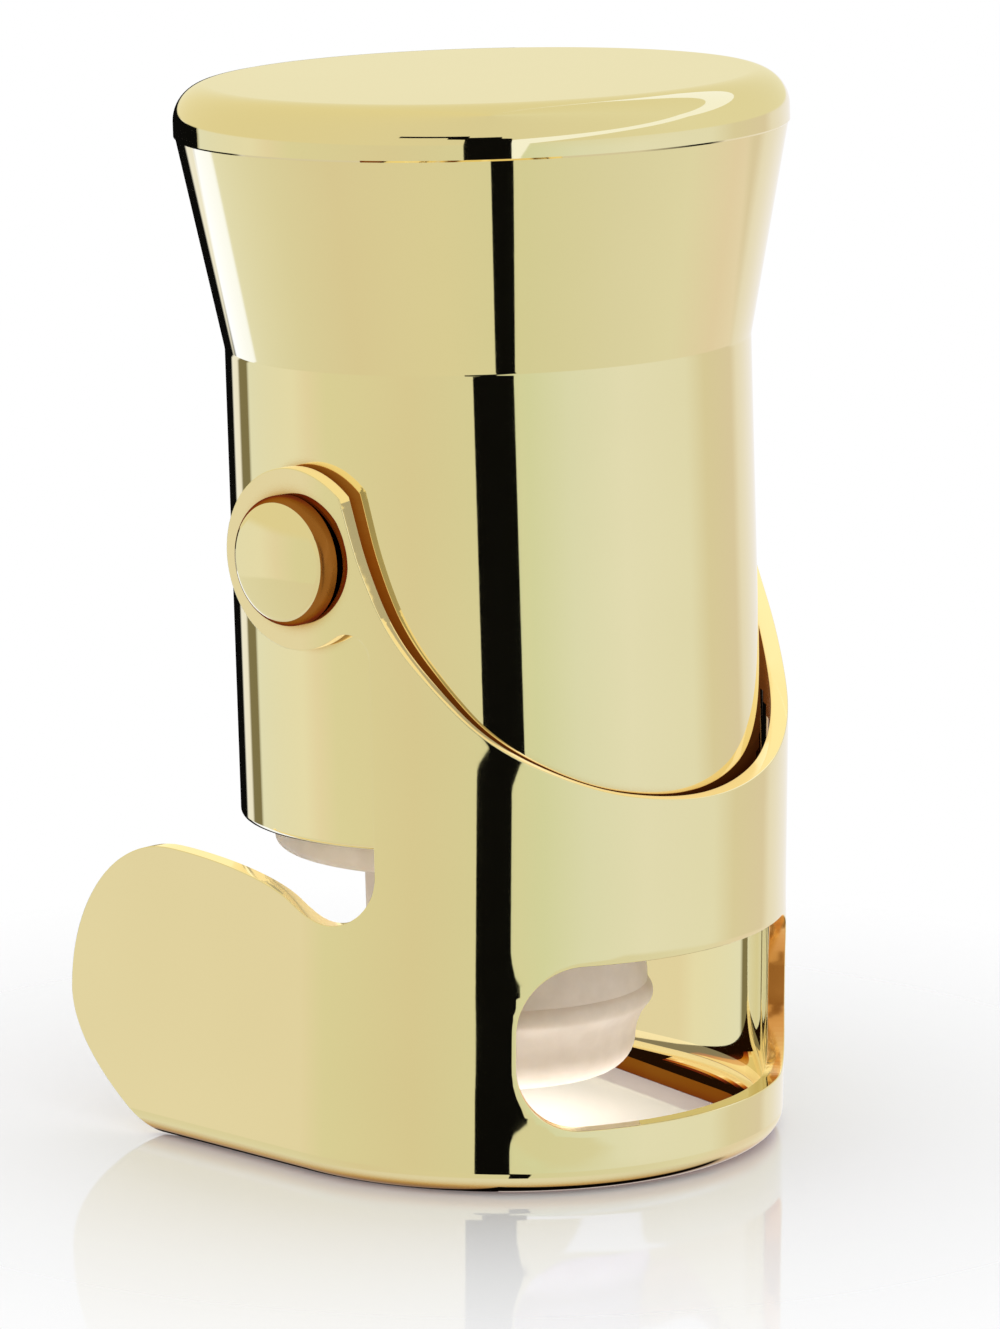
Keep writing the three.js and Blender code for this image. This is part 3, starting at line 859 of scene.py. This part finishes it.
def glossy_floor(name):
    """Matt pale grey under a thin gloss, clear to polished metal, which mirrors the cards instead."""
    material, tree, shader = new_finish(name)
    shader.inputs["Base Color"].default_value = floor_grey
    shader.inputs["Roughness"].default_value = 0.7
    shader.inputs["Specular IOR Level"].default_value = 0
    shader.inputs["Emission Color"].default_value = floor_light
    place = tree.nodes.new("ShaderNodeTexCoord")
    distance = tree.nodes.new("ShaderNodeVectorMath")
    distance.operation = "LENGTH"
    tree.links.new(place.outputs["Object"], distance.inputs[0])
    from_middle = distance.outputs["Value"]
    ray = tree.nodes.new("ShaderNodeLightPath")
    under_stopper = stepped(tree, from_middle, 0, floor_reach, [(0.014, grey(0.16)), (0.021, black)])
    openness = tree.nodes.new("ShaderNodeAmbientOcclusion")
    openness.samples = 8
    openness.inputs["Distance"].default_value = cover_reach
    cover = worked_out(tree, "SUBTRACT", 1.0, openness.outputs["AO"])
    on_matt = worked_out(tree, "MULTIPLY", ray.outputs["Is Diffuse Ray"], light_on_matt)
    light = worked_out(tree, "MULTIPLY", worked_out(tree, "MULTIPLY", under_stopper, cover),
                       worked_out(tree, "ADD", on_matt, 1.0))
    tree.links.new(worked_out(tree, "ADD", light, light_everywhere), shader.inputs["Emission Strength"])
    gloss = tree.nodes.new("ShaderNodeBsdfGlossy")
    gloss.inputs["Color"].default_value = floor_gloss
    gloss.inputs["Roughness"].default_value = 0.05
    varnished = either_shader(tree, gloss_share, shader.outputs["BSDF"], gloss.outputs["BSDF"])
    fade = stepped(tree, from_middle, 0, floor_reach, [(0.024, black), (0.038, grey(0.4)), (0.064, white)])
    clear = tree.nodes.new("ShaderNodeBsdfTransparent").outputs["BSDF"]
    faded = either_shader(tree, fade, varnished, clear)
    seen = either_shader(tree, ray.outputs["Is Glossy Ray"], faded, clear)
    tree.links.new(seen, tree.nodes["Material Output"].inputs["Surface"])
    return material


clear_selection()
bpy.ops.mesh.primitive_circle_add(
    vertices=floor_steps, radius=floor_radius, fill_type="NGON", location=(0, 0, 0))
floor = bpy.context.object
floor.name = "floor"
give(floor, glossy_floor("pale_floor"))

world = bpy.data.worlds.new("studio")
bpy.context.scene.world = world
world.use_nodes = True
tree = world.node_tree
sky = tree.nodes["Background"]
place = tree.nodes.new("ShaderNodeTexCoord")
turn = tree.nodes.new("ShaderNodeMapping")
turn.inputs["Rotation"].default_value = (0, 0, math.pi / 2 - camera_azimuth)
tree.links.new(place.outputs["Generated"], turn.inputs["Vector"])
parts = tree.nodes.new("ShaderNodeSeparateXYZ")
tree.links.new(turn.outputs["Vector"], parts.inputs["Vector"])
bearing = worked_out(tree, "DEGREES", worked_out(tree, "ARCTAN2", parts.outputs["Y"], parts.outputs["X"]))
elevation = worked_out(tree, "DEGREES", worked_out(tree, "ARCSINE", parts.outputs["Z"]))

# The cards, read in degrees round the stopper from the camera's bearing, at eye level and lower down
dark = grey(0.004)
olive = (0.25, 0.22, 0.12)
cards = stepped(tree, bearing, -180, 180, [
    (-180, dark), (-153, dark), (-151, white), (-143, white), (-141, olive), (-132, olive),
    (-130, (0.92, 0.95, 0.87)), (-95, (0.97, 0.96, 0.84)), (-86, (0.94, 0.88, 0.74)),
    (-75, (0.87, 0.86, 0.66)), (-35, (0.85, 0.80, 0.61)), (0, (0.83, 0.84, 0.65)),
    (17, (0.81, 0.88, 0.71)), (35, (0.88, 0.94, 0.87)), (60, (0.95, 0.98, 0.95)),
    (95, (0.93, 0.95, 0.89)), (108, (0.85, 0.81, 0.67)), (131, (0.84, 0.77, 0.66)),
    (138, (0.94, 0.91, 0.86)), (154, (0.97, 0.95, 0.97))])
low_cards = stepped(tree, bearing, -180, 180, [
    (-180, dark), (-149, dark), (-147, (1.25, 1.35, 1.8)), (-127, (1.2, 1.3, 1.7)),
    (-125, (0.93, 0.95, 0.86)), (-89, (0.87, 0.85, 0.69)), (-60, (0.85, 0.79, 0.61)),
    (-17, (0.86, 0.83, 0.63)), (17, (0.82, 0.83, 0.64)), (60, (0.87, 0.87, 0.74)),
    (89, (0.90, 0.90, 0.78)), (116, (0.92, 0.83, 0.74)), (150, (0.95, 0.90, 0.82))])
low_share = stepped(tree, elevation, -90, 90, [(-16, white), (-15.5, black)])
walls = mixed(tree, low_share, cards, low_cards)


def between(tree, value, low, high):
    """One where the value lies between two limits, which are numbers or sockets."""
    return worked_out(tree, "MULTIPLY", worked_out(tree, "GREATER_THAN", value, low),
                  worked_out(tree, "LESS_THAN", value, high))


limit_span = 200.0


def limits(tree, value, start, end, stops):
    """Two limits that change with the value, in degrees round 0, carried as a colour's red and green."""
    pair = tree.nodes.new("ShaderNodeSeparateColor")
    colours = [(at, (low / limit_span + 0.5, high / limit_span + 0.5, 0)) for at, (low, high) in stops]
    tree.links.new(stepped(tree, value, start, end, colours), pair.inputs["Color"])
    for name in ("Red", "Green"):
        from_lowest = worked_out(tree, "MULTIPLY", pair.outputs[name], limit_span)
        yield worked_out(tree, "SUBTRACT", from_lowest, limit_span / 2)


def flat_colour(tree, colour):
    node = tree.nodes.new("ShaderNodeRGB")
    node.outputs["Color"].default_value = (*colour, 1)
    return node.outputs["Color"]


# Above the cards a warm ceiling, with a long lamp that rises to the right
ceiling = stepped(tree, bearing, -180, 180, [
    (-180, (0.91, 0.86, 0.60)), (-160, (0.93, 0.86, 0.57)), (-60, (0.90, 0.84, 0.60)),
    (0, (0.86, 0.82, 0.62)), (85, (0.92, 0.90, 0.7)), (160, (0.90, 0.86, 0.62)), (180, (0.91, 0.86, 0.60))])
ceiling_share = stepped(tree, elevation, -90, 90, [(-3, black), (-1, white)])
walls = mixed(tree, ceiling_share, walls, ceiling)
lamp_white = (1.14, 1.19, 1.3)
lamp_foot, lamp_top = limits(tree, bearing, -180, 180, [
    (4, (0, 0)), (12, (-5, 9)), (55, (14, 22)), (90, (27, 34)), (168, (34, 48)), (172, (90, 90))])
walls = mixed(tree, between(tree, elevation, lamp_foot, lamp_top), walls, flat_colour(tree, lamp_white))

# Under them the floor's own white, with the shade that the stopper throws on it
floor_shade = (0.8, 0.76, 0.66)
under = stepped(tree, bearing, -180, 180, [
    (-174, dark), (-170, floor_shade), (-60, (0.9, 0.86, 0.74)), (60, (0.9, 0.88, 0.78)), (128, floor_shade),
    (138, dark)])
under_share = stepped(tree, elevation, -90, 90, [(-42, white), (-38, black)])
walls = mixed(tree, under_share, walls, under)

# The dark gap at the camera, whose edges change with the height, the dark top edge of the tan card and
# the dark edge behind. Each is a bearing and an elevation between two limits.
gap_left, gap_right = limits(tree, elevation, -90, 90, [
    (-20, (4.5, 13.3)), (-19, (-9.6, 12)), (-16, (-9.6, 4.3)), (-12.6, (-9.6, 4.3)), (-9.8, (-2.8, 9)),
    (-9.4, (-6.3, 11.2)), (13, (-6.3, 11.2)), (14, (-13, 7.4))])
shade = worked_out(tree, "MULTIPLY", between(tree, bearing, gap_left, gap_right),
                   between(tree, elevation, -40.0, 18.5))
for left, right, low, high in ((-32.0, -5.0, 18.5, 23.0), (-180.0, -132.0, -9.6, -2.0)):
    edge = worked_out(tree, "MULTIPLY", between(tree, bearing, left, right),
                      between(tree, elevation, low, high))
    shade = worked_out(tree, "MAXIMUM", shade, edge)
walls = mixed(tree, shade, walls, flat_colour(tree, dark))

# Only mirrors see the cards, and all else sees plain white
tree.links.new(walls, sky.inputs["Color"])
plain = tree.nodes.new("ShaderNodeBackground")
plain.inputs["Color"].default_value = (1, 1, 1, 1)
ray = tree.nodes.new("ShaderNodeLightPath")
seen = either_shader(tree, ray.outputs["Is Glossy Ray"], plain.outputs["Background"],
                     sky.outputs["Background"])
tree.links.new(seen, tree.nodes["World Output"].inputs["Surface"])

# The camera stands about half a metre off at the left front, a little above the cap. Its place and its
# lens are those from which the rim, the foot and the rivet head look as they do in the picture.
camera_height = math.radians(11.63)
camera_roll = math.radians(0.37)
camera_distance = 0.50426
sensor_height = 36
photo_width, photo_height = 1000, 1329
focal_px = 8003.2
target_px = (502.06, 629.41)
target = Vector((0, collar_axis.y, 0.032))
back = Vector((math.sin(camera_azimuth) * math.cos(camera_height),
               -math.cos(camera_azimuth) * math.cos(camera_height), math.sin(camera_height)))
right = Vector((math.cos(camera_azimuth), math.sin(camera_azimuth), 0))
up = back.cross(right)
rolled_right = right * math.cos(camera_roll) + up * math.sin(camera_roll)
rolled_up = up * math.cos(camera_roll) - right * math.sin(camera_roll)
lens = bpy.data.cameras.new("camera")
lens.sensor_fit = "VERTICAL"
lens.sensor_height = sensor_height
lens.lens = focal_px / photo_height * sensor_height
lens.shift_x = (photo_width / 2 - target_px[0]) / photo_height
lens.shift_y = (target_px[1] - photo_height / 2) / photo_height
lens.clip_start = 0.01
camera = bpy.data.objects.new("camera", lens)
bpy.context.collection.objects.link(camera)
turned_frame = Matrix((rolled_right, rolled_up, back)).transposed().to_4x4()
camera.matrix_world = Matrix.Translation(target + back * camera_distance) @ turned_frame
bpy.context.scene.camera = camera

bpy.context.scene.view_settings.view_transform = "Standard"
